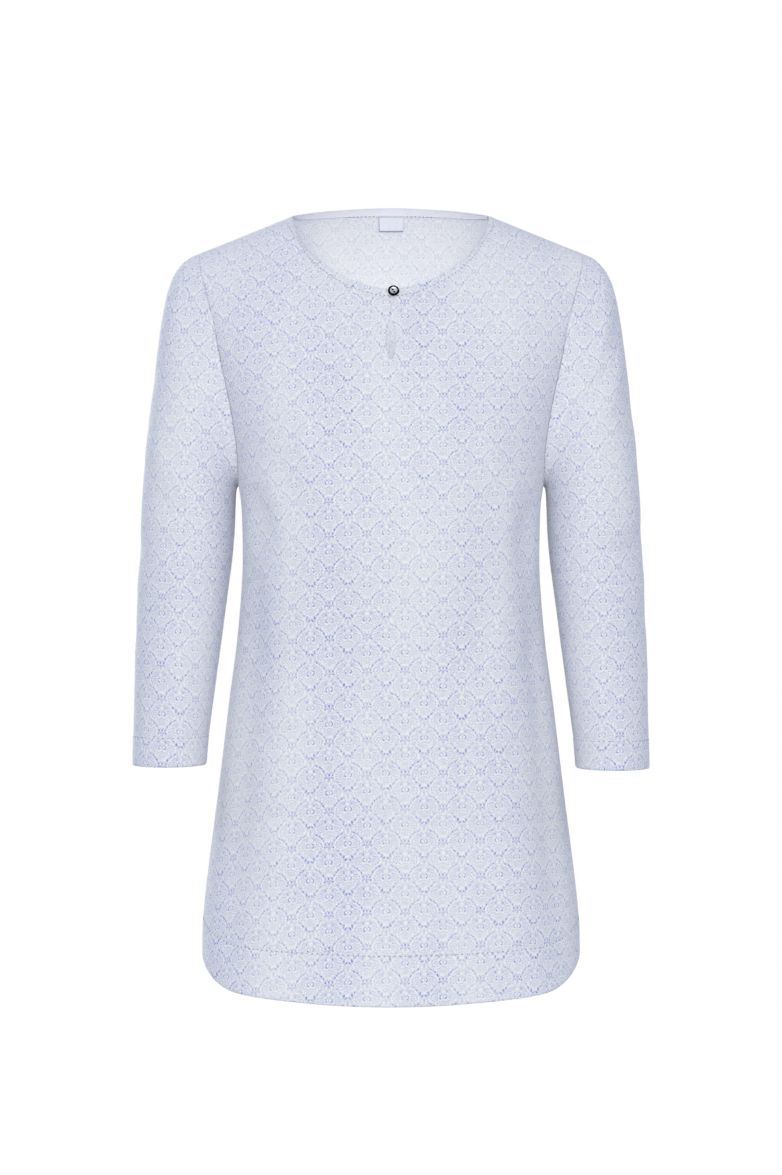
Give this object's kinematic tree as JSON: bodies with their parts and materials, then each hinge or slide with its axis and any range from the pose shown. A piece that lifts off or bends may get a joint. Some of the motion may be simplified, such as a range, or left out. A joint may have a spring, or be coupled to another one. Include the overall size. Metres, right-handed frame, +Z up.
{
  "type": "tunic top",
  "caption": "Long tunic top with a round neck, keyhole slit with a small metal button, three-quarter set-in sleeves and a curved hem, hollow as if it were worn.",
  "frame": {"origin": "midway between the two neck points, where the shoulder seams meet the neck edge; the wearer's neck and shoulders hold the garment there", "axes": "+Z up, front of the garment towards -Y, wearer's left towards +X"},
  "size_m": [0.4956, 0.2577, 0.7643],
  "materials": {
    "front_cloth": "matt printed woven viscose",
    "back_cloth": "matt printed woven viscose",
    "sleeve_left_cloth": "matt printed woven viscose",
    "sleeve_right_cloth": "matt printed woven viscose",
    "tape": "matt plain tape",
    "label": "smooth woven label, blank",
    "button": "dark nickel plating"
  },
  "bodies": {
    "root": {"front": "front_cloth", "back": "back_cloth", "sleeve_left": "sleeve_left_cloth", "sleeve_right": "sleeve_right_cloth", "neck_tape": "tape", "label": "label", "button": "button"}
  },
  "joints": []
}
